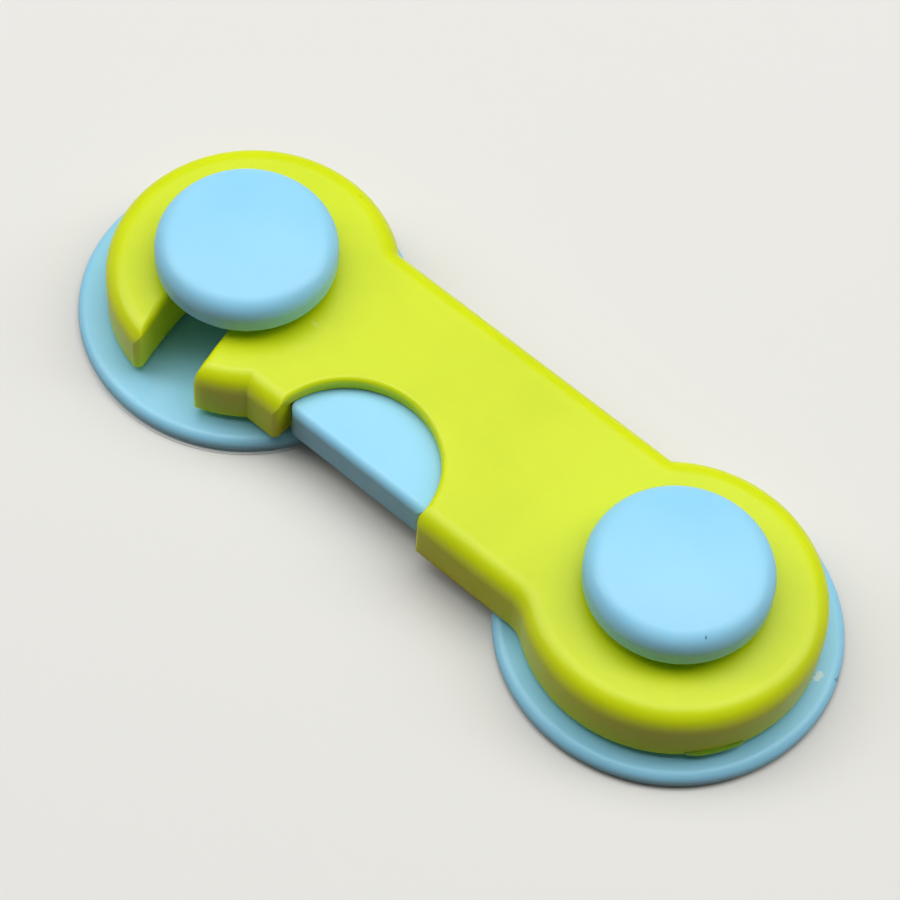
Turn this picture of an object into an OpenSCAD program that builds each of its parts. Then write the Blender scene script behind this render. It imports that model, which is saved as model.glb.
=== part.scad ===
// Cabinet safety lock, in millimetres, +Z up.
// A hooked arm turns on the post of one glued base and closes over the post of a second.
// The thumb button in the arm's front side draws a bolt out of the hook, which frees the arm.
// Origin: on the mounting surface, midway between the two posts. +X runs from hook to pivot,
// and -Y is the front, where the hook's mouth and the button are.

/* [Bases] */
// How much farther from the pivot the latch post stands than the hook head's centre
post_lead = 0.4; // [0:0.1:1]
// How far the latch post stands from the arm's centre line, towards the hook's mouth
latch_drift = 0.8; // [0:0.1:1]
// Diameter of a base disc
base_d = 42; // [38:0.5:48]
// Thickness of a base disc
base_t = 1.5; // [1.4:0.1:2]
// Rounding of a base disc's upper rim
base_edge_r = 1.2; // [0.6:0.1:1.3]
// Thickness of a foam pad
pad_t = 0.5; // [0.4:0.1:1.2]
// Diameter of a foam pad
pad_d = 40.6; // [34:0.2:41.6]
// Thickness of the release film on a pad
liner_t = 0.1; // [0.1:0.05:0.2]
// Diameter of the release film
liner_d = 41.6; // [41:0.2:42]
// How far a release film is stuck on off centre
liner_shift = 0.5; // [0:0.1:0.6]
// Diameter of a post
post_d = 7.8; // [7.4:0.1:8]
// Diameter of the bore inside a post
post_bore_d = 4.2; // [4:0.1:4.4]
// Thickness of the web that a cap screw's head pulls against
post_web_t = 1.5; // [1.2:0.1:2]

/* [Caps] */
// Diameter of a cap
cap_d = 22.5; // [21:0.1:24]
// Height of a cap from rim to crown
cap_h = 5.2; // [4.9:0.1:5.6]
// Rounding of a cap's upper edge
cap_edge_r = 2.5; // [2:0.1:2.8]
// Rounding of a cap's lower rim
cap_rim_r = 0.4; // [0.2:0.1:0.6]
// Radius of the dome on a cap
cap_dome_r = 50; // [45:1:80]
// Wall thickness of a cap round its hollow underside
cap_wall = 1.5; // [1.2:0.1:2]
// Diameter of a cap's collar, which stands on its post
cap_collar_d = 11; // [9:0.5:12]
// Thickness of a cap above its hollow
cap_roof_t = 2.4; // [2.3:0.1:2.8]

/* [Arm] */
// Diameter of the two round heads
head_d = 36.4; // [36:0.1:37]
// Width of the bar between the heads
bar_w = 27.7; // [27.2:0.1:28.4]
// Height of the arm
arm_h = 7.2; // [7.1:0.1:7.8]
// Gap under the arm, above the base discs
arm_gap = 1.1; // [0.8:0.1:1.4]
// Gap between the arm's top and the caps
cap_gap = 1.4; // [1:0.1:2]
// Distance from the pivot to the centre of the hook's head
hook_reach = 67.3; // [60:0.1:80]
// Rounding of the arm's upper edge
arm_edge_r = 2.6; // [2.2:0.1:2.8]
// Rounding of the slot's upper edges
slot_edge_r = 1; // [0.6:0.1:1.2]
// Radius of the blends between bar and heads on the front
front_blend_r = 5; // [4:0.5:6]
// Radius of the blends between bar and heads on the back
back_blend_r = 0.5; // [0.4:0.1:1.5]
// Rounding of the hook's tip and of the corners beside the button
corner_r = 0.8; // [0.5:0.1:1]
// Side wall thickness of the arm
wall = 1.5; // [1.3:0.1:1.6]
// Wall thickness of the arm's top
roof_t = 1.8; // [1.6:0.05:1.9]
// Width of the hook's slot
slot_w = 8.4; // [8.2:0.1:8.8]
// How far the arm can move back before the slot's end meets the post
seat_play = 0.8; // [0.6:0.1:1.2]
// Outer diameter of the arm's hub, which turns on the pivot post
hub_d = 13; // [12:0.5:14]
// Thickness of the back cover
cover_t = 1.1; // [1:0.05:1.2]

/* [Button] */
// Radius of the thumb scoop in the arm's top
scoop_r = 11.2; // [10.8:0.1:11.6]
// Distance from the centre of the hook's head to the scoop's centre
scoop_reach = 27.7; // [27:0.1:29]
// How far the scoop's centre lies inside the arm's front side
scoop_inset = 0.5; // [0.2:0.1:0.8]
// Rounding of the scoop's upper edge
scoop_edge_r = 0.7; // [0.5:0.05:0.85]
// How far the button's face lies behind the arm's front side
button_recess = 1.9; // [1.7:0.1:2.1]
// Rounding of the button's front upper edge
button_edge_r = 1.2; // [0.9:0.1:1.5]
// Rounding of the button's upright front corners
button_corner_r = 1.2; // [0.8:0.1:1.4]
// Gap between the button's ends and the arm
button_side_gap = 0.3; // [0.2:0.05:0.5]
// Travel of the button, and of the bolt that it draws
travel = 3.5; // [3.3:0.1:3.6]
// Wall thickness of the hollow button
button_wall = 1.2; // [1:0.1:1.3]
// Thickness of the bolt
bolt_t = 2.35; // [2:0.05:2.5]
// Width of the bolt's nose in the slot
nose_w = 2.5; // [2.2:0.1:2.7]
// Diameter of the button's cam pin
cam_pin_d = 2; // [1.8:0.1:2.2]
// Outer diameter of the button's spring
spring_d = 2.6; // [2.4:0.1:2.7]
// Wire diameter of the button's spring
spring_wire_d = 0.36; // [0.3:0.02:0.4]
// Turns of the button's spring
spring_turns = 11; // [9:1:12]

/* [Screws] */
// Shank diameter of a cap screw
cap_screw_d = 2.6; // [2.4:0.1:2.8]
// Shank length of a cap screw
cap_screw_l = 8; // [7:0.5:8.5]
// Head diameter of a cap screw
cap_head_d = 4.8; // [4.4:0.1:5]
// Head height of a cap screw
cap_head_h = 1.5; // [1.3:0.1:1.6]
// Shank diameter of a cover screw
cover_screw_d = 1.6; // [1.4:0.1:1.8]
// Shank length of a cover screw below its head
cover_screw_l = 4; // [3:0.5:4.5]
// Head diameter of a cover screw
cover_head_d = 3.4; // [3.2:0.1:3.6]
// Head height of a cover screw
cover_head_h = 0.9; // [0.8:0.05:0.95]
// Outer diameter of a screw boss in the arm
boss_d = 4.6; // [4.2:0.2:5]

/* [Hidden] */
$fn = 64;

// Clearances, and the overrun of every cut
pivot_fit = 0.05;
seat_fit = 0.1;
slide_fit = 0.2;
screw_fit = 0.02;
pocket_fit = 0.25;
over = 0.5;

// A rounding's cut bites this far past tangency, so that it crosses the walls cleanly
bite = 0.02;

// Colours of the mouldings
lime = "#d8ea3e";
sky = "#9fdcf5";
foam = "#f2f1ec";
film = "#f7f7f2";
steel = "#c4c7c9";

// Heights, from the mounting surface up
pad_z = liner_t;
disc_z = pad_z + pad_t;
disc_top = disc_z + base_t;
arm_z = disc_top + arm_gap;
arm_top = arm_z + arm_h;
cap_z = arm_top + cap_gap;
ceiling = arm_top - roof_t;
floor_z = arm_z + cover_t;

// Places in plan
base_spacing = hook_reach + post_lead;
pivot_x = base_spacing / 2;
latch_x = -base_spacing / 2;
latch_y = -latch_drift;
hook_x = pivot_x - hook_reach;
scoop_x = hook_x + scoop_reach;
scoop_y = scoop_inset - bar_w / 2;
head_r = head_d / 2;
bar_y = bar_w / 2;
inner_y = bar_y - wall;

// The slot is an arc about the pivot, so that the post runs along it as the arm swings
slot_r = sqrt(base_spacing * base_spacing + latch_drift * latch_drift);
slot_end_y = latch_y + seat_play - (slot_w - post_d) / 2;
slot_end_angle = 180 - asin(slot_end_y / slot_r);
slot_sweep = 25;
slot_end_x = pivot_x + slot_r * cos(slot_end_angle);

// Cap screws, and the pockets that sink their heads clear of the foam pads
head_sink = 0.5;
head_pocket_d = cap_head_d + 2 * pocket_fit;
web_z = disc_z + cap_head_h + head_sink;
web_top = web_z + post_web_t;
stem_d = post_bore_d - 2 * seat_fit;

// Width of a screw's cross recess as a share of its head
recess_share = 0.6;

// Half of an outline with a rounded upper outer edge, for turned pieces
module rounded_half(r, h, f) {
    square([r - f, h]);
    square([r, h - f]);
    intersection() {
        translate([r - f, h - f]) circle(f);
        square([r, h]);
    }
}

// A round post or head whose upper edge is rounded
module rounded_post(r, h, f) {
    rotate_extrude() rounded_half(r, h, f);
}

// The flare that rounds the upper edge of a cut, standing off the cut's wall
module flare(f) {
    difference() {
        translate([0, -f]) square([f, f + over]);
        translate([f, -f]) circle(f);
    }
}

// A round cut whose upper edge is rounded
module flared_cut(r, h, f) {
    rotate_extrude() {
        translate([0, -over]) square([r, h + 2 * over]);
        translate([r, h]) flare(f);
    }
}

// Mirrors its children to the front where side is -1
module on_side(side) {
    if (side < 0) mirror([0, 1, 0]) children();
    else children();
}

// One base: rimmed disc, hollow post and a pocket for the cap screw's head
module base(x, y) {
    color(sky) translate([x, y, 0]) difference() {
        union() {
            translate([0, 0, disc_z]) rounded_post(base_d / 2, base_t, base_edge_r);
            translate([0, 0, disc_z]) cylinder(h = cap_z - disc_z, d = post_d);
        }
        translate([0, 0, disc_z - over]) cylinder(h = web_z - disc_z + over, d = head_pocket_d);
        translate([0, 0, disc_z]) cylinder(h = cap_z - disc_z, d = cap_screw_d + 2 * seat_fit);
        translate([0, 0, web_top]) cylinder(h = cap_z - web_top + over, d = post_bore_d);
    }
}

// Height of the centre of a cap's edge rounding, which is tangent to the dome
cap_r = cap_d / 2;
cap_edge_x = cap_r - cap_edge_r;
cap_edge_z = cap_h - cap_dome_r + sqrt(pow(cap_dome_r - cap_edge_r, 2) - pow(cap_edge_x, 2));
cap_join_x = cap_edge_x * cap_dome_r / (cap_dome_r - cap_edge_r);

// Half outline of a cap: dome, rounded edge, rim and the hollow round the collar
module cap_half() {
    difference() {
        intersection() {
            translate([0, cap_h - cap_dome_r]) circle(r = cap_dome_r, $fn = 720);
            union() {
                square([cap_join_x, cap_h]);
                translate([0, cap_rim_r]) square([cap_r, cap_edge_z - cap_rim_r]);
                translate([cap_edge_x, cap_edge_z]) intersection() {
                    circle(cap_edge_r);
                    square([cap_edge_r, cap_edge_r]);
                }
                translate([cap_r - cap_rim_r, cap_rim_r]) circle(cap_rim_r);
                square([cap_r - cap_rim_r, cap_rim_r]);
            }
        }
        translate([cap_collar_d / 2, -over])
            square([cap_r - cap_wall - cap_collar_d / 2, cap_h - cap_roof_t + over]);
    }
}

// One cap with the stem that goes down its post
module cap(x, y) {
    color(sky) translate([x, y, 0]) difference() {
        union() {
            translate([0, 0, cap_z]) rotate_extrude() cap_half();
            translate([0, 0, web_top + slide_fit])
                cylinder(h = cap_z - web_top, d = stem_d);
        }
        translate([0, 0, web_top]) cylinder(h = cap_screw_l, d = cap_screw_d + 2 * screw_fit);
    }
}

// Cross recess in a screw head of diameter d, cut down from the head's face at z = 0
module cross_recess(d, depth) {
    for (a = [0, 90]) rotate([0, 0, a])
        translate([-d * recess_share / 2, -d * recess_share / 8, -over])
            cube([d * recess_share, d * recess_share / 4, depth + over]);
}

// A pan head screw, driven upwards into a cap's stem
module cap_screw(x, y) {
    translate([x, y, web_z - cap_head_h]) difference() {
        union() {
            cylinder(h = cap_head_h, d = cap_head_d);
            cylinder(h = cap_head_h + cap_screw_l, d = cap_screw_d);
        }
        cross_recess(cap_head_d, cap_head_h / 2);
    }
}

// A foam pad under a base
module pad(x, y) {
    color(foam) translate([x, y, pad_z]) cylinder(h = pad_t, d = pad_d);
}

// A release film, stuck on off centre in the given direction
module liner(x, y, direction) {
    color(film) translate([x + liner_shift * cos(direction), y + liner_shift * sin(direction), 0])
        cylinder(h = liner_t, d = liner_d);
}
latch_liner_angle = -60;
pivot_liner_angle = 130;

// Outline of the arm in plan, drawn in by an inset, without its slot
module arm_plan(inset) {
    r = head_r - inset;
    w = bar_y - inset;
    for (x = [hook_x, pivot_x]) translate([x, 0]) circle(r);
    translate([hook_x, -w]) square([hook_reach, 2 * w]);
    plan_blends(front_blend_r, -1, inset);
    plan_blends(back_blend_r, 1, inset);
}

// The two blends on one side, where the bar meets the heads
module plan_blends(blend_r, side, inset) {
    for (end = [0, 1]) translate([end ? pivot_x : hook_x, 0]) mirror([end, 0])
        mirror([0, side < 0 ? 1 : 0]) difference() {
            polygon(blend_points(blend_r, inset, wall));
            translate(blend_centre(blend_r)) circle(blend_r + inset + bite);
        }
}

// Centre of a blend of radius r beside a head at the origin, with the bar along +X
function blend_centre(r) = [sqrt(pow(head_r + r, 2) - pow(bar_y + r, 2)), bar_y + r];

// Corners of the wedge that a blend fills, down to depth below the outline
function blend_points(r, inset, depth) =
    let (c = blend_centre(r), w = bar_y - inset, k = (head_r - inset) / (head_r + r),
        d = (head_r - inset - 2 * depth) / (head_r + r))
    [[c.x, w], c * k, c * d, [c.x, w - 2 * depth]];

// Zone of the hook's slot in plan, with a wall of the given width round it
module slot_plan(grow) {
    translate([pivot_x, 0]) intersection() {
        difference() {
            circle(slot_r + slot_w / 2 + grow);
            circle(slot_r - slot_w / 2 - grow);
        }
        polygon([[0, 0],
            2 * slot_r * [cos(slot_end_angle), sin(slot_end_angle)],
            2 * slot_r * [cos(slot_end_angle + slot_sweep), sin(slot_end_angle + slot_sweep)]]);
    }
    translate([slot_end_x, slot_end_y]) circle(slot_w / 2 + grow);
}

// The arm's bar, with both upper edges rounded
module bar() {
    translate([hook_x, 0, arm_z]) rotate([90, 0, 90]) linear_extrude(hook_reach) {
        translate([-bar_y, 0]) square([bar_w, arm_h - arm_edge_r]);
        translate([arm_edge_r - bar_y, 0]) square([bar_w - 2 * arm_edge_r, arm_h]);
        for (side = [-1, 1]) translate([side * (bar_y - arm_edge_r), arm_h - arm_edge_r])
            circle(arm_edge_r);
    }
}

// A solid blend between bar and heads, with its upper edge rounded
module blends(blend_r, side) {
    for (end = [0, 1]) translate([end ? pivot_x : hook_x, 0, arm_z]) mirror([end, 0, 0])
        on_side(side) difference() {
            linear_extrude(arm_h) polygon(blend_points(blend_r, 0, arm_edge_r));
            translate(blend_centre(blend_r)) flared_cut(blend_r + bite, arm_h, arm_edge_r);
        }
}

// The hook's slot, its upper edges rounded up to its closed end
module slot_cut() {
    translate([0, 0, arm_z - over]) linear_extrude(arm_h + 2 * over) slot_plan(0);
    translate([pivot_x, 0, arm_top]) rotate([0, 0, slot_end_angle])
        rotate_extrude(angle = slot_sweep) for (side = [-1, 1])
            translate([slot_r + side * slot_w / 2, 0]) mirror([side < 0 ? 1 : 0, 0]) {
                flare(slot_edge_r);
                translate([-slot_edge_r, -slot_edge_r]) square([slot_edge_r, slot_edge_r + over]);
            }
}

// The scoop in the arm's top, which shows the button
module scoop_cut() {
    translate([scoop_x, scoop_y, ceiling]) flared_cut(scoop_r, roof_t, scoop_edge_r);
}

// Opening in the front side for the button
module button_opening() {
    translate([scoop_x - scoop_r, -bar_y - over, arm_z - over])
        cube([2 * scoop_r, wall + 2 * over, arm_h - roof_t + 2 * over]);
}

// Hook tip: centre of its rounding, tangent to the slot's outer wall and to the head
tip_slot_r = slot_r + slot_w / 2 + corner_r;
tip_head_r = head_r - corner_r;
tip_x_from_pivot = (tip_slot_r * tip_slot_r - tip_head_r * tip_head_r + hook_reach * hook_reach)
    / (2 * hook_reach);
tip_y = -sqrt(tip_slot_r * tip_slot_r - tip_x_from_pivot * tip_x_from_pivot);
tip_x = pivot_x - tip_x_from_pivot;
tip = [tip_x, tip_y];
tip_out = (tip - [hook_x, 0]) / tip_head_r;
tip_in = ([pivot_x, 0] - tip) / tip_slot_r;

// Cuts the hook's sharp tip back to a round one
module tip_cut() {
    translate([0, 0, arm_z]) difference() {
        translate([0, 0, -over]) linear_extrude(arm_h + 2 * over) polygon([
            tip + corner_r * tip_in, tip + corner_r * tip_out,
            tip + 4 * corner_r * (tip_in + tip_out)]);
        translate([tip.x, tip.y, -2 * over]) cylinder(h = arm_h + 4 * over, r = corner_r + bite);
    }
}

// Rounds the two upright corners beside the button
module opening_corner_cuts() {
    for (side = [-1, 1]) translate([scoop_x + side * (scoop_r + corner_r), corner_r - bar_y, 0])
        difference() {
            translate([side > 0 ? -corner_r - over : 0, -corner_r - over, arm_z - over])
                cube([corner_r + over, corner_r + over, arm_h + 2 * over]);
            translate([0, 0, arm_z - 2 * over])
                cylinder(h = arm_h + 4 * over, r = corner_r + bite);
        }
}

// Outside of the arm
module arm_body() {
    difference() {
        union() {
            for (x = [hook_x, pivot_x]) translate([x, 0, arm_z])
                rounded_post(head_r, arm_h, arm_edge_r);
            bar();
        }
        slot_cut();
        scoop_cut();
    }
    blends(front_blend_r, -1);
    blends(back_blend_r, 1);
}

// The hollow inside the arm, open below
module arm_hollow() {
    translate([0, 0, arm_z - over]) linear_extrude(ceiling - arm_z + over) difference() {
        arm_plan(wall);
        slot_plan(wall);
    }
}

// Screw bosses: beside the hook, beside the bolt, round the pivot end and behind the button
boss_out = head_r - wall - boss_d;
boss_places = [
    [hook_x - boss_out, 0],
    [hook_x + boss_out, bar_y - wall - boss_d],
    [pivot_x + boss_out, 0],
    [scoop_x + scoop_r + boss_d, bar_y - wall - boss_d],
    [scoop_x + scoop_r + boss_d, wall + boss_d - bar_y]];

// Bolt: slides along X between two rails under the arm's roof
bolt_top = ceiling - slide_fit;
bolt_z = bolt_top - bolt_t;
nose_back_y = latch_y - post_d / 2 - slide_fit;
nose_front_y = nose_back_y - nose_w;
slot_wall_x = pivot_x - sqrt(pow(slot_r - slot_w / 2, 2) - pow(nose_front_y, 2));
nose_tip_x = slot_wall_x - travel;
button_left = scoop_x - scoop_r + button_side_gap;
button_right = scoop_x + scoop_r - button_side_gap;
bolt_right = button_left - slide_fit - travel;
bolt_setback = 0.3;
bolt_left = pivot_x - slot_r + slot_w / 2 + wall + slide_fit + bolt_setback;
cam_slot_w = cam_pin_d + 1.5 * slide_fit;
cam_wall = 0.9;
cam_x = bolt_right - cam_wall - cam_slot_w / 2;
cam_y = nose_front_y + cam_wall + cam_slot_w;
bolt_back_y = cam_y + travel + cam_slot_w / 2 + cam_wall;

// The bolt, with a slanted nose that rides over the post, and the 45 degree cam slot
module bolt_plan() {
    difference() {
        polygon([
            [nose_tip_x, nose_back_y], [nose_tip_x, nose_back_y - nose_w / 4],
            [nose_tip_x + nose_w * 3 / 4, nose_front_y], [bolt_right, nose_front_y],
            [bolt_right, bolt_back_y], [bolt_left, bolt_back_y], [bolt_left, nose_back_y]]);
        for (end = [0, 1]) translate([cam_x - end * travel, cam_y + end * travel])
            circle(d = cam_slot_w);
        translate([cam_x - travel / 2, cam_y + travel / 2]) rotate(45)
            square([cam_slot_w, sqrt(2) * travel], center = true);
    }
}

// Rails that guide the bolt, ribs that stop below the button's wing
rail_t = 1.2;
module bolt_rails() {
    left = pivot_x - slot_r + slot_w / 2;
    for (y = [nose_front_y - slide_fit - rail_t, bolt_back_y + slide_fit])
        translate([left + wall / 2, y, floor_z])
            cube([button_left - stop_w - slide_fit - left - wall / 2, rail_t, ceiling - floor_z + over]);
}

// Jambs beside the button, which its stops rest against
module button_jambs() {
    for (side = [-1, 1])
        translate([scoop_x + side * (scoop_r + stop_w / 2) - stop_w / 2, -inner_y - over, floor_z])
            cube([stop_w, stop_front - slide_fit + inner_y + over, ceiling - floor_z + over]);
}

// Window in the slot's wall for the bolt's nose
module nose_window() {
    translate([nose_tip_x - over, nose_front_y - slide_fit, bolt_z - slide_fit])
        cube([bolt_left - nose_tip_x + 2 * over, nose_w + 2 * slide_fit, bolt_t + 2 * slide_fit]);
}

// Button: a hollow D that slides back under the arm's roof
button_top = ceiling - slide_fit;
button_z = floor_z + slide_fit;
button_h = button_top - button_z;
button_front = button_recess - bar_y;
face_z = arm_z + slide_fit;
face_h = button_top - face_z;
stop_w = 2;
stop_t = 2;
stop_front = button_front + button_corner_r;
plate_margin = 0.8;
plate_r = scoop_r + plate_margin;
spring_z = button_top - button_wall - seat_fit - spring_d / 2;
wing_t = bolt_z - slide_fit - button_z;
wing_w = cam_pin_d + 2 * cam_wall;
wing_back = cam_y + wing_w / 2;

// Outline of the button in plan, straight behind and rounded at its two front corners
module button_outline() {
    r = button_corner_r;
    translate([button_left, button_front + r]) square([button_right - button_left, bar_w]);
    translate([button_left + r, button_front]) square([button_right - button_left - 2 * r, bar_w]);
    for (x = [button_left + r, button_right - r]) translate([x, button_front + r]) circle(r);
}

// Outline of the button's top
module button_plan() {
    intersection() {
        translate([scoop_x, scoop_y]) circle(plate_r);
        button_outline();
    }
}

// The button's front wall, which reaches down past the back cover
module button_face() {
    translate([0, 0, face_z]) linear_extrude(face_h) intersection() {
        translate([button_left, button_front]) square([button_right - button_left, button_wall]);
        button_outline();
    }
}

// The button's other walls: two ends that reach past the wing, two ribs beside the spring
module button_walls() {
    for (x = [button_left, button_right - button_wall])
        translate([x, button_front]) square([button_wall, wing_back - button_front]);
    for (x = [-spring_d / 2 - seat_fit - button_wall, spring_d / 2 + seat_fit])
        translate([scoop_x + x, button_front]) square([button_wall, plate_r / 2]);
}

// Side profile of the button, which rounds its front upper edge
module button_profile() {
    translate([button_front, face_z]) {
        square([bar_w, face_h - button_edge_r]);
        translate([button_edge_r, 0]) square([bar_w, face_h]);
        translate([button_edge_r, face_h - button_edge_r]) circle(button_edge_r);
    }
}

module pivot_base() { base(pivot_x, 0); }

module latch_base() { base(latch_x, latch_y); }

module pivot_cap() { cap(pivot_x, 0); }

module latch_cap() { cap(latch_x, latch_y); }

module cap_screws() {
    color(steel) {
        cap_screw(pivot_x, 0);
        cap_screw(latch_x, latch_y);
    }
}

module pivot_pad() { pad(pivot_x, 0); }

module latch_pad() { pad(latch_x, latch_y); }

module pivot_liner() { liner(pivot_x, 0, pivot_liner_angle); }

module latch_liner() { liner(latch_x, latch_y, latch_liner_angle); }

// The arm's upper moulding: roof and side walls, hub, bosses, rails and the spring's anchor
module arm_shell() {
    color(lime) difference() {
        union() {
            difference() {
                arm_body();
                arm_hollow();
                button_opening();
                tip_cut();
                opening_corner_cuts();
            }
            translate([pivot_x, 0, disc_top]) cylinder(h = cap_z - seat_fit - disc_top, d = hub_d);
            for (place = boss_places) translate([place.x, place.y, floor_z])
                cylinder(h = ceiling - floor_z + over, d = boss_d);
            bolt_rails();
            button_jambs();
            spring_anchor();
        }
        translate([pivot_x, 0, disc_top - over])
            cylinder(h = cap_z - disc_top + 2 * over, d = post_d + 2 * pivot_fit);
        for (place = boss_places) translate([place.x, place.y, floor_z - over])
            cylinder(h = cover_screw_l + over, d = cover_screw_d + 2 * screw_fit);
        nose_window();
    }
}

// The rib that the spring pushes against
anchor_y = scoop_y + plate_r + travel + slide_fit;
anchor_w = 6;
module spring_anchor() {
    translate([scoop_x - anchor_w / 2, anchor_y, floor_z])
        cube([anchor_w, rail_t, ceiling - floor_z + over]);
}

// The flat cover that closes the arm from below
module arm_back_cover() {
    color(lime) difference() {
        translate([0, 0, arm_z]) linear_extrude(cover_t) difference() {
            arm_plan(wall + seat_fit);
            slot_plan(wall + seat_fit);
            translate([pivot_x, 0]) circle(d = hub_d + 4 * seat_fit);
            translate([scoop_x - scoop_r, -bar_y - over])
                square([2 * scoop_r, button_recess + button_wall + travel + slide_fit + over]);
        }
        for (place = boss_places) translate([place.x, place.y, arm_z]) {
            translate([0, 0, -over]) cylinder(h = cover_t + 2 * over, d = cover_screw_d + 2 * seat_fit);
            cylinder(h = cover_head_h, d1 = cover_head_d + 2 * screw_fit,
                d2 = cover_screw_d + 2 * screw_fit);
        }
    }
}

// Countersunk screws, their heads flush with the cover's underside
module cover_screws() {
    color(steel) for (place = boss_places) translate([place.x, place.y, arm_z]) difference() {
        union() {
            cylinder(h = cover_head_h, d1 = cover_head_d, d2 = cover_screw_d);
            cylinder(h = cover_head_h + cover_screw_l, d = cover_screw_d);
        }
        cross_recess(cover_head_d, cover_head_h / 2);
    }
}

// The thumb button: D-shaped top, walls below it, two stops, the wing and its cam pin
module thumb_button() {
    color(sky) {
        intersection() {
            union() {
                translate([0, 0, button_top - button_wall]) linear_extrude(button_wall)
                    button_plan();
                translate([0, 0, button_z]) linear_extrude(button_h) intersection() {
                    button_walls();
                    button_outline();
                }
                button_face();
            }
            translate([button_left, 0, 0]) rotate([90, 0, 90])
                linear_extrude(button_right - button_left) button_profile();
        }
        for (x = [button_left - stop_w, button_right - over]) translate([x, stop_front, button_z])
            cube([stop_w + over, stop_t, wing_t]);
        translate([cam_x - wing_w / 2, wing_back - wing_w, button_z])
            cube([button_left + button_wall - cam_x + wing_w / 2, wing_w, wing_t]);
        translate([cam_x, cam_y, button_z])
            cylinder(h = bolt_top - slide_fit - button_z, d = cam_pin_d);
        translate([scoop_x, button_front + button_wall / 2, spring_z]) rotate([-90, 0, 0])
            cylinder(h = button_wall / 2 + stop_t, d = spring_d - 4 * spring_wire_d);
    }
}

module latch_bolt() {
    color(sky) translate([0, 0, bolt_z]) linear_extrude(bolt_t) bolt_plan();
}

// Spring: one wire swept along a helix that runs back along Y
spring_start = button_front + button_wall + spring_wire_d / 2 + screw_fit;
spring_end = anchor_y - spring_wire_d / 2 - screw_fit;
coil_r = (spring_d - spring_wire_d) / 2;
wire_r = spring_wire_d / 2;
wire_sides = 6;
rings_per_turn = 8;
ring_count = rings_per_turn * spring_turns;
spring_pitch = (spring_end - spring_start) / spring_turns;

// A point of the wire's skin: ring along the helix, side round the wire
function skin_point(ring, side) =
    let (a = 360 * ring / rings_per_turn, b = 360 * side / wire_sides,
        r = coil_r + wire_r * cos(b))
    [r * cos(a), spring_pitch * ring / rings_per_turn + wire_r * sin(b), r * sin(a)];

module button_spring() {
    points = [for (ring = [0:ring_count], side = [0:wire_sides - 1]) skin_point(ring, side)];
    walls = [for (ring = [0:ring_count - 1], side = [0:wire_sides - 1], half = [0, 1])
        let (a = ring * wire_sides + side, b = ring * wire_sides + (side + 1) % wire_sides)
        half ? [a, b + wire_sides, a + wire_sides] : [a, b, b + wire_sides]];
    ends = [[for (side = [wire_sides - 1:-1:0]) side],
        [for (side = [0:wire_sides - 1]) ring_count * wire_sides + side]];
    echo(least_gap = least_gap(0), least_gap_pressed = least_gap(travel));
    color(steel) translate([scoop_x, spring_start, spring_z]) polyhedron(points, concat(walls, ends));
}

// Least gap between neighbouring turns, measured on the skin's points, when pressed by a length
function least_gap(pressed) = min([for (ring = [0:rings_per_turn], side = [0:wire_sides - 1],
        other = [0:wire_sides - 1], turn = [0:1])
    let (next = ring + rings_per_turn * (turn + 1), a = skin_point(ring, side),
        b = skin_point(next, other), back = pressed * (next - ring) / ring_count)
    norm(b - a - [0, back, 0])]);

pivot_base();
latch_base();
pivot_cap();
latch_cap();
cap_screws();
pivot_pad();
latch_pad();
pivot_liner();
latch_liner();
arm_shell();
arm_back_cover();
cover_screws();
thumb_button();
latch_bolt();
button_spring();
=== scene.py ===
"""Looks of the cabinet safety lock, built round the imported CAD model."""

import math

import bmesh
import bpy
from mathutils import Matrix, Vector


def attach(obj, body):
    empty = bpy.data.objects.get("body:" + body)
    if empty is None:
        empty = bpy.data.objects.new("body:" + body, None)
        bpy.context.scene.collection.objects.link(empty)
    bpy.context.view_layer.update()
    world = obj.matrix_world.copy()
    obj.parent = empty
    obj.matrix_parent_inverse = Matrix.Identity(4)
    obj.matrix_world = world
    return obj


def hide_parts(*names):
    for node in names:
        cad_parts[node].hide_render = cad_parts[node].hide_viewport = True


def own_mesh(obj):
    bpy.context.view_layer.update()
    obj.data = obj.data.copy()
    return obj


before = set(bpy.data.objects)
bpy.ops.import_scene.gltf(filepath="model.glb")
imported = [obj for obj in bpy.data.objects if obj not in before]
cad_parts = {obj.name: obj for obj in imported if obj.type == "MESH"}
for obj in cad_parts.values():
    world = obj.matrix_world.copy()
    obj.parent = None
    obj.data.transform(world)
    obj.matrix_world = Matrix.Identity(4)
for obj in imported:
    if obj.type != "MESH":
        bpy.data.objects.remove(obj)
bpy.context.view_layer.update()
MM = 0.001

# Photograph's camera, fitted to the outlines of discs and caps, in millimetres and degrees
AIM = (-1.668, 1.133, 0.0)
AZIMUTH = 37.117
ELEVATION = 57.905
ROLL = 5.099
DISTANCE = 413.59
FOCAL_PX = 3380.1
FRAME_PX = 900
SENSOR = 36.0
CLIP_START, CLIP_END = 0.01, 20

# Room: tint, strength overhead and at the horizon, and the heights where each is reached
ROOM_TINT = (0.78, 0.96, 1.0, 1)
ROOM_DIM, ROOM_PALE = 0.10, 0.25
DIM_FROM, PALE_TO = 0.18, 0.05

# Overhead softboxes: tilt behind the zenith, and half angle across the view
KEY_TILT = 15.0
KEY_WIDE = 62.0

# Name, distance, half angle along the view and radiance of each; the strip is the bright core
SOFTBOXES = [("key_softbox", 1.0, 24.0, 1.88), ("key_strip", 0.97, 7.0, 2.0)]

# Floor: half side in metres, its colour as seen, and the table top's that it throws back
FLOOR_HALF = 4.0
FLOOR_SEEN = (232, 229, 224)
FLOOR_THROWN = (128, 92, 64)
FLOOR_ROUGHNESS = 0.8

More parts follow.
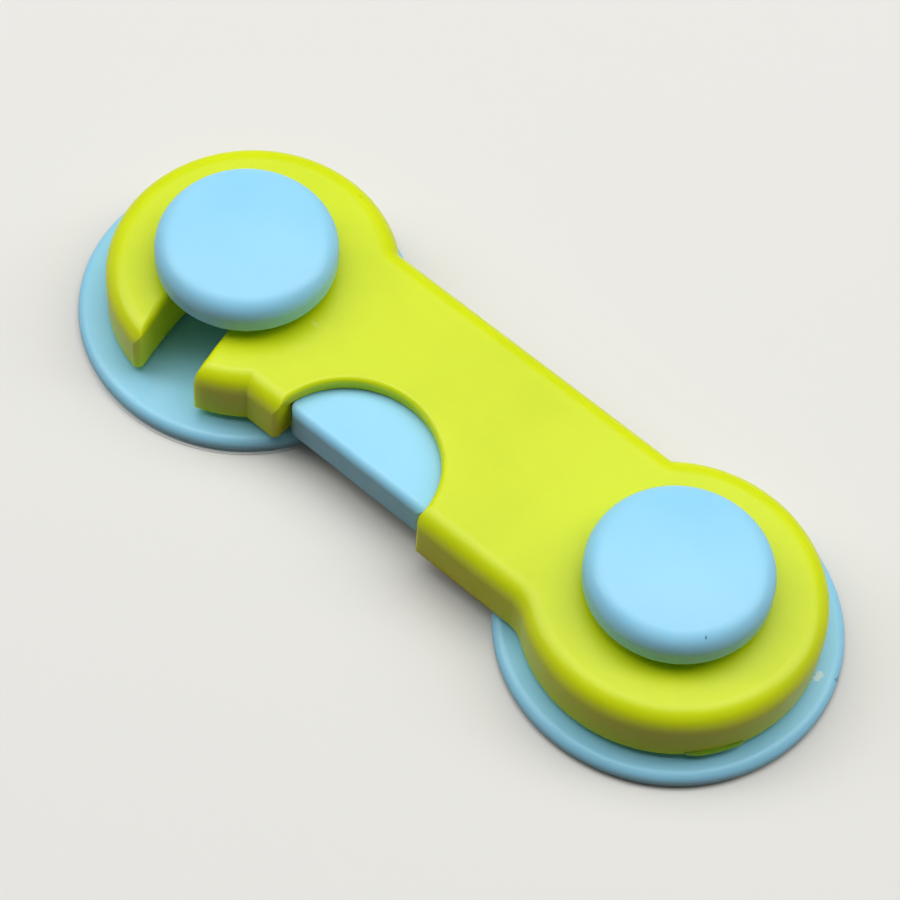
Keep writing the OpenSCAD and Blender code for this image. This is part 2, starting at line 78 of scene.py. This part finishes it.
# Plastic skin: scales are in cells per metre, depths in metres
NOISE_SPAN = (0.3, 0.7)
FLOW_SCALE = 70
SMUDGE_SCALE, SMUDGE_RISE = 45, 0.06
PEEL_SCALE, PEEL_DEPTH = 1100, 0.00001
WAVE_SCALE, WAVE_DEPTH = 160, 0.00006
DUST_SCALE, DUST_OUTER, DUST_INNER = 160, 0.016, 0.008
DUST_SHARE, DUST_DARK = 0.3, 0.55
SCRATCH_SETS = [((60, 2600, 2600), 0.5, 0.70), ((50, 3000, 3000), -0.9, 0.71)]
SCRATCH_EDGE, SCRATCH_ROUGH, SCRATCH_DEPTH = 0.06, 0.12, 0.000004
PLASTIC_IOR = 1.5
GLOSS_AHEAD, GLOSS_ASIDE = 0.38, 0.12
TURN_START, TURN_END = 0.2, 0.6

# Marks, among them a painted highlight and painted shade: share of a mark's size where it is full
# and where it ends, and its ragged edge
MARK_FULL, MARK_END = 0.75, 1.05
RAGGED_SCALE, RAGGED = 2600, 0.35

# Places of the CAD model that the small pieces follow, in millimetres
PIVOT = Vector((33.85, 0, 0))
HEAD_R = 18.2
ARM_Z = 3.2
SCOOP_X = -5.75

# Gate: where it starts and ends round the head in degrees, its reach, height and root
GATE_FROM, GATE_TO, GATE_STEPS = -45.5, -23.0, 36
GATE_REACH, GATE_H, GATE_ROOT = 0.42, 0.75, 0.15
GATE_RISE, GATE_RISE_POWER = 0.25, 0.6
GATE_SNAP, GATE_SNAP_LEFT, GATE_TAPER = 0.97, 0.55, 0.35

# Spring: coil and wire radii, turns, ends, pitch of the closed end turns, and anchor
COIL_R = 1.12
WIRE_R = 0.18
SPRING_TURNS = 11
STEPS_PER_TURN = 28
WIRE_SIDES = 10
SPRING_START = -10.55
SPRING_END = 2.15
SPRING_END_PITCH = 0.5
SPRING_Z = 5.8


def linear(red, green, blue):
    """Linear colour of an sRGB colour given in 0 to 255."""
    def one(value):
        value = value / 255
        return value / 12.92 if value <= 0.04045 else ((value + 0.055) / 1.055) ** 2.4
    return (one(red), one(green), one(blue), 1.0)


def set_camera():
    """Camera at the photograph's place, rolled as the photograph is."""
    azimuth, elevation, roll = (math.radians(a) for a in (AZIMUTH, ELEVATION, ROLL))
    forward = Vector((-math.sin(azimuth) * math.cos(elevation),
                      math.cos(azimuth) * math.cos(elevation), -math.sin(elevation)))
    right = Vector((math.cos(azimuth), math.sin(azimuth), 0))
    up = right.cross(forward)
    rolled_right = right * math.cos(roll) + up * math.sin(roll)
    rolled_up = up * math.cos(roll) - right * math.sin(roll)
    camera = bpy.data.objects.new("camera", bpy.data.cameras.new("camera"))
    axes = Matrix((rolled_right, rolled_up, -forward)).transposed().to_4x4()
    camera.matrix_world = Matrix.Translation((Vector(AIM) - forward * DISTANCE) * MM) @ axes
    camera.data.sensor_width = SENSOR
    camera.data.lens = FOCAL_PX / FRAME_PX * SENSOR
    camera.data.clip_start = CLIP_START
    camera.data.clip_end = CLIP_END
    bpy.context.scene.collection.objects.link(camera)
    bpy.context.scene.camera = camera


def set_world():
    """Dim studio room whose walls are pale near the horizon."""
    world = bpy.data.worlds.new("studio")
    bpy.context.scene.world = world
    world.use_nodes = True
    weaver = Weaver(world.node_tree, "Generated")
    parts = weaver.node("SeparateXYZ")
    weaver.link(weaver.where, parts.inputs[0])
    height = weaver.maths("ABSOLUTE", parts.outputs["Z"])
    background = world.node_tree.nodes["Background"]
    background.inputs["Color"].default_value = ROOM_TINT
    weaver.link(weaver.span(height, DIM_FROM, PALE_TO, ROOM_DIM, ROOM_PALE),
                background.inputs["Strength"])


def set_light():
    """Long softboxes overhead, a little behind the lock and across the view."""
    bpy.context.scene.view_settings.view_transform = "Standard"
    azimuth, tilt = math.radians(AZIMUTH), math.radians(KEY_TILT)
    across = Vector((math.cos(azimuth), math.sin(azimuth), 0))
    towards = Vector((-math.sin(azimuth) * math.sin(tilt),
                      math.cos(azimuth) * math.sin(tilt), math.cos(tilt)))
    axes = Matrix((across, towards.cross(across), towards)).transposed().to_4x4()
    for name, distance, deep, radiance in SOFTBOXES:
        lamp = bpy.data.lights.new(name, "AREA")
        lamp.shape = "RECTANGLE"
        lamp.size = 2 * distance * math.tan(math.radians(KEY_WIDE))
        lamp.size_y = 2 * distance * math.tan(math.radians(deep))
        lamp.energy = radiance * math.pi * lamp.size * lamp.size_y
        holder = bpy.data.objects.new(name, lamp)
        holder.matrix_world = Matrix.Translation(towards * distance) @ axes
        bpy.context.scene.collection.objects.link(holder)


class Weaver:
    """Short calls for the nodes that the materials and the world share."""

    def __init__(self, tree, coordinates="Object"):
        self.tree = tree
        self.where = tree.nodes.new("ShaderNodeTexCoord").outputs[coordinates]

    def node(self, kind, **settings):
        made = self.tree.nodes.new("ShaderNode" + kind)
        for key, value in settings.items():
            setattr(made, key, value)
        return made

    def link(self, source, target):
        self.tree.links.new(source, target)

    def noise(self, scale, detail, stretch=None, turn=0.0):
        """Noise over the coordinates, stretched and then turned about Z if asked."""
        made = self.node("TexNoise")
        made.inputs["Scale"].default_value = scale
        made.inputs["Detail"].default_value = detail
        source = self.where
        if stretch:
            mapping = self.node("Mapping")
            mapping.inputs["Scale"].default_value = stretch
            mapping.inputs["Rotation"].default_value = (0, 0, turn)
            self.link(self.where, mapping.inputs["Vector"])
            source = mapping.outputs["Vector"]
        self.link(source, made.inputs["Vector"])
        return made.outputs["Fac"]

    def cells(self, scale):
        """Distance to the nearest of scattered points."""
        made = self.node("TexVoronoi")
        made.inputs["Scale"].default_value = scale
        self.link(self.where, made.inputs["Vector"])
        return made.outputs["Distance"]

    def span(self, source, low, high, to_low=0.0, to_high=1.0):
        """Brings low to high softly to to_low to to_high."""
        made = self.node("MapRange", interpolation_type="SMOOTHSTEP")
        for key, value in (("From Min", low), ("From Max", high),
                           ("To Min", to_low), ("To Max", to_high)):
            made.inputs[key].default_value = value
        self.link(source, made.inputs["Value"])
        return made.outputs["Result"]

    def mottle(self, scale, detail, low=0.0, high=1.0):
        """Noise that runs softly from low to high."""
        return self.span(self.noise(scale, detail), *NOISE_SPAN, low, high)

    def maths(self, operation, *values):
        made = self.node("Math", operation=operation)
        for socket, value in zip(made.inputs, values):
            if isinstance(value, (int, float)):
                socket.default_value = value
            else:
                self.link(value, socket)
        return made.outputs[0]

    def blend(self, share, first, second):
        """Mixes two colours, each a socket or a linear colour."""
        made = self.node("Mix", data_type="RGBA")
        self.link(share, made.inputs[0])
        for socket, value in ((made.inputs[6], first), (made.inputs[7], second)):
            if isinstance(value, tuple):
                socket.default_value = value
            else:
                self.link(value, socket)
        return made.outputs[2]

    def bump(self, height, distance, strength, normal=None):
        made = self.node("Bump")
        made.inputs["Strength"].default_value = strength
        made.inputs["Distance"].default_value = distance
        self.link(height, made.inputs["Height"])
        if normal:
            self.link(normal, made.inputs["Normal"])
        return made.outputs["Normal"]


def new_material(name):
    """A node material with its output, its Principled shader and a weaver."""
    material = bpy.data.materials.new(name)
    material.use_nodes = True
    nodes = material.node_tree.nodes
    return material, nodes["Material Output"], nodes["Principled BSDF"], Weaver(material.node_tree)


def add_marks_and_painted_light(weaver, base, marks):
    """Small marks, among them a painted highlight and painted shade: each is a place and size in
    millimetres, a colour and a strength.
    """
    for place, size, colour, strength in marks:
        mapping = weaver.node("Mapping")
        mapping.inputs["Location"].default_value = [-p / r for p, r in zip(place, size)]
        mapping.inputs["Scale"].default_value = [1 / (r * MM) for r in size]
        weaver.link(weaver.where, mapping.inputs["Vector"])
        reach = weaver.node("VectorMath", operation="LENGTH")
        weaver.link(mapping.outputs["Vector"], reach.inputs[0])
        ragged = weaver.maths("ADD", reach.outputs["Value"],
                              weaver.mottle(RAGGED_SCALE, 3, -RAGGED, RAGGED))
        share = weaver.maths("MULTIPLY", weaver.span(ragged, MARK_END, MARK_FULL), strength)
        base = weaver.blend(share, base, linear(*colour))
    return base


def floor_material():
    """Pale to the camera and in reflections, brown like a table top in the light it throws back."""
    material, output, shader, weaver = new_material("pale_floor")
    shader.inputs["Base Color"].default_value = linear(*FLOOR_SEEN)
    shader.inputs["Roughness"].default_value = FLOOR_ROUGHNESS
    table = weaver.node("BsdfDiffuse")
    table.inputs["Color"].default_value = linear(*FLOOR_THROWN)
    path = weaver.node("LightPath").outputs
    mirrored = weaver.maths("MAXIMUM", path["Is Glossy Ray"], path["Is Transmission Ray"])
    mix = weaver.node("MixShader")
    weaver.link(weaver.maths("MAXIMUM", path["Is Camera Ray"], mirrored), mix.inputs[0])
    weaver.link(table.outputs[0], mix.inputs[1])
    weaver.link(shader.outputs[0], mix.inputs[2])
    weaver.link(mix.outputs[0], output.inputs["Surface"])
    return material


def plastic_material(name, colour, shade, roughness, glow, radii, marks=()):
    """Moulded ABS: faint flow mottling, orange-peel skin, fine scratches, dust specks and any marks
    it is given; the blue's marks include a painted highlight and painted shade.
    """
    material, _, shader, weaver = new_material(name)
    base = weaver.blend(weaver.mottle(FLOW_SCALE, 4), linear(*colour), linear(*shade))
    dust = weaver.span(weaver.cells(DUST_SCALE), DUST_OUTER, DUST_INNER)
    base = weaver.blend(weaver.maths("MULTIPLY", dust, DUST_SHARE), base,
                        linear(*(DUST_DARK * value for value in colour)))
    weaver.link(add_marks_and_painted_light(weaver, base, marks), shader.inputs["Base Color"])

    scratches = weaver.maths("MAXIMUM", *(
        weaver.span(weaver.noise(1, 3, stretch, turn), edge, edge + SCRATCH_EDGE)
        for stretch, turn, edge in SCRATCH_SETS))
    smudge = weaver.mottle(SMUDGE_SCALE, 3, roughness, roughness + SMUDGE_RISE)
    weaver.link(weaver.maths("ADD", smudge, weaver.maths("MULTIPLY", scratches, SCRATCH_ROUGH)),
                shader.inputs["Roughness"])

    peel = weaver.bump(weaver.noise(PEEL_SCALE, 2), PEEL_DEPTH, 0.5)
    waves = weaver.bump(weaver.noise(WAVE_SCALE, 1), WAVE_DEPTH, 0.5, peel)
    skin = weaver.bump(weaver.maths("SUBTRACT", 1.0, scratches), SCRATCH_DEPTH, 0.6, waves)
    weaver.link(skin, shader.inputs["Normal"])

    shader.inputs["IOR"].default_value = PLASTIC_IOR
    facing = weaver.node("LayerWeight").outputs["Facing"]
    weaver.link(weaver.span(facing, TURN_START, TURN_END, GLOSS_AHEAD, GLOSS_ASIDE),
                shader.inputs["Specular IOR Level"])
    shader.inputs["Subsurface Weight"].default_value = glow
    shader.inputs["Subsurface Radius"].default_value = radii
    shader.inputs["Subsurface Scale"].default_value = MM
    return material


def steel_material():
    """Zinc plate: cloudy grey with a slight blue cast and a fine turned grain."""
    material, _, shader, weaver = new_material("zinc_steel")
    weaver.link(weaver.blend(weaver.mottle(500, 5), linear(186, 190, 196), linear(206, 206, 200)),
                shader.inputs["Base Color"])
    shader.inputs["Metallic"].default_value = 1.0
    grain = weaver.noise(6000, 3)
    weaver.link(weaver.span(grain, *NOISE_SPAN, 0.28, 0.42), shader.inputs["Roughness"])
    weaver.link(weaver.bump(grain, 0.000005, 0.5), shader.inputs["Normal"])
    return material


def foam_material():
    """Closed-cell foam tape: cream, with small cells whose low parts are painted darker, a painted
    shade.
    """
    material, _, shader, weaver = new_material("foam_tape")
    pits_and_painted_shade = weaver.span(weaver.cells(3500), 0.1, 0.6)
    # Painted shade: the cells' low parts are coloured darker
    weaver.link(weaver.blend(pits_and_painted_shade, linear(243, 241, 234), linear(222, 219, 208)),
                shader.inputs["Base Color"])
    shader.inputs["Roughness"].default_value = 0.85
    weaver.link(weaver.bump(weaver.maths("SUBTRACT", 1.0, pits_and_painted_shade), 0.00006, 0.7),
                shader.inputs["Normal"])
    return material


def film_material():
    """Siliconised release film: pale, smooth and slightly wavy."""
    material, _, shader, weaver = new_material("release_film")
    clouds = weaver.mottle(60, 2)
    weaver.link(weaver.blend(clouds, linear(246, 245, 240), linear(238, 238, 234)),
                shader.inputs["Base Color"])
    weaver.link(weaver.span(clouds, 0.0, 1.0, 0.14, 0.24), shader.inputs["Roughness"])
    weaver.link(weaver.bump(weaver.noise(90, 1), 0.0001, 0.5), shader.inputs["Normal"])
    return material


def dress(nodes, material):
    """Gives CAD nodes their finished material."""
    for node in nodes:
        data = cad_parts[node].data
        data.materials.clear()
        data.materials.append(material)


def add_floor():
    """Plain floor at the mounting surface."""
    mesh = bpy.data.meshes.new("floor")
    corners = [(-1, -1), (1, -1), (1, 1), (-1, 1)]
    mesh.from_pydata([(x * FLOOR_HALF, y * FLOOR_HALF, 0) for x, y in corners],
                     [], [(0, 1, 2, 3)])
    floor = bpy.data.objects.new("floor", mesh)
    mesh.materials.append(floor_material())
    bpy.context.scene.collection.objects.link(floor)


def loft(name, rings, smooth_ends):
    """Closed mesh through rings of points in millimetres, all with the same number of points."""
    mesh = bpy.data.meshes.new(name)
    bm = bmesh.new()
    rows = [[bm.verts.new(point * MM) for point in ring] for ring in rings]
    for a, b in zip(rows, rows[1:]):
        for k in range(len(a)):
            n = (k + 1) % len(a)
            bm.faces.new((a[k], b[k], b[n], a[n]))
    bm.faces.new(rows[0][::-1])
    bm.faces.new(rows[-1])
    bmesh.ops.recalc_face_normals(bm, faces=bm.faces)
    bm.to_mesh(mesh)
    bm.free()
    for polygon in mesh.polygons:
        polygon.use_smooth = smooth_ends or len(polygon.vertices) == 4
    return mesh


def add_piece(mesh, material, body):
    """Places a finished mesh on its body under its own name, with its material."""
    piece = bpy.data.objects.new(mesh.name, mesh)
    mesh.materials.append(material)
    bpy.context.scene.collection.objects.link(piece)
    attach(piece, body)
    return piece


def gate_tab(material):
    """Trimmed moulding gate: a thin lip along the lower edge of the pivot's head."""
    rings = []
    for step in range(GATE_STEPS + 1):
        share = step / GATE_STEPS
        angle = math.radians(GATE_FROM + (GATE_TO - GATE_FROM) * share)
        swell = min(1.0, share / GATE_RISE) ** GATE_RISE_POWER
        if share >= GATE_SNAP:
            swell *= GATE_SNAP_LEFT
        reach = GATE_REACH * swell * (1 - GATE_TAPER * share)
        outline = ((-GATE_ROOT, 0.02), (0.8 * reach, -0.12 * swell), (reach, 0.1),
                   (0.75 * reach, 0.3), (0.25 * reach, 0.6 * GATE_H), (-GATE_ROOT, GATE_H))
        out = Vector((math.cos(angle), math.sin(angle), 0))
        rings.append([PIVOT + out * (HEAD_R + r) + Vector((0, 0, ARM_Z + z)) for r, z in outline])
    add_piece(loft("gate_tab", rings, True), material, "arm")


def coil_spring(material):
    """Round-wire spring with closed end turns, which takes the place of the CAD model's spring."""
    last = SPRING_TURNS - 1
    pitch = (SPRING_END - SPRING_START - 2 * SPRING_END_PITCH) / (SPRING_TURNS - 2)
    sides = [2 * math.pi * k / WIRE_SIDES for k in range(WIRE_SIDES)]
    rings = []
    for step in range(SPRING_TURNS * STEPS_PER_TURN + 1):
        turn = step / STEPS_PER_TURN
        closed = min(turn, 1) + max(0, turn - last)
        along = closed * SPRING_END_PITCH + max(0, min(turn, last) - 1) * pitch
        angle = 2 * math.pi * turn
        out = Vector((math.cos(angle), 0, math.sin(angle)))
        centre = Vector((SCOOP_X, SPRING_START + along, SPRING_Z)) + out * COIL_R
        rings.append([centre + WIRE_R * (out * math.cos(side) + Vector((0, math.sin(side), 0)))
                      for side in sides])
    coil = add_piece(loft("button_spring_coil", rings, False), material, "arm")
    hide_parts("button_spring")
    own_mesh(coil)


set_camera()
set_world()
set_light()
add_floor()

# Lime marks: a paler spot and a darker spot on the top of the arm's hook head
LIME_MARKS = [((-21.6, -1.8, 10.4), (0.7, 0.3, 0.4), (236, 244, 130), 0.4),
              ((-30.5, 16.3, 10.4), (0.4, 0.3, 0.4), (176, 196, 24), 0.4)]
# Sky marks: a dark inclusion speck on the pivot cap, then a painted highlight and painted shade on
# the pivot disc
SKY_SPECK_AND_PAINTED_LIGHT = [((42.1, -5.6, 15.72), (0.26, 0.26, 0.3), (46, 100, 130), 0.7),
             # Painted highlight: a whitish glint on the pivot disc's top
             ((51.5, 6.2, 2.1), (0.5, 0.8, 0.5), (238, 250, 252), 0.75),
             # Painted shade: a darker patch standing for the small step of the gate vestige at the
             # pivot disc's rim
             ((53.3, 7.8, 1.5), (0.35, 0.6, 0.6), (84, 140, 168), 0.6)]
LIME = plastic_material("lime_abs", (221, 234, 15), (215, 229, 9), 0.28, 0.8, (1.6, 1.6, 0.3),
                        LIME_MARKS)
SKY = plastic_material("sky_abs", (159, 223, 253), (153, 219, 250), 0.28, 0.2, (0.5, 1.0, 1.2),
                       SKY_SPECK_AND_PAINTED_LIGHT)
# Gate lip: a greener copy of the lime plastic, painted light that stands for light shining through
# the thin lip
GATE = plastic_material("lime_gate_painted_light", (150, 206, 34), (140, 196, 28), 0.31, 0.8, (1.6, 1.6, 0.3))
STEEL = steel_material()
dress(["arm_shell", "arm_back_cover"], LIME)
dress(["pivot_base", "latch_base", "pivot_cap", "latch_cap", "thumb_button", "latch_bolt"], SKY)
dress(["cap_screws", "cover_screws", "button_spring"], STEEL)
dress(["pivot_pad", "latch_pad"], foam_material())
dress(["pivot_liner", "latch_liner"], film_material())
gate_tab(GATE)
coil_spring(STEEL)
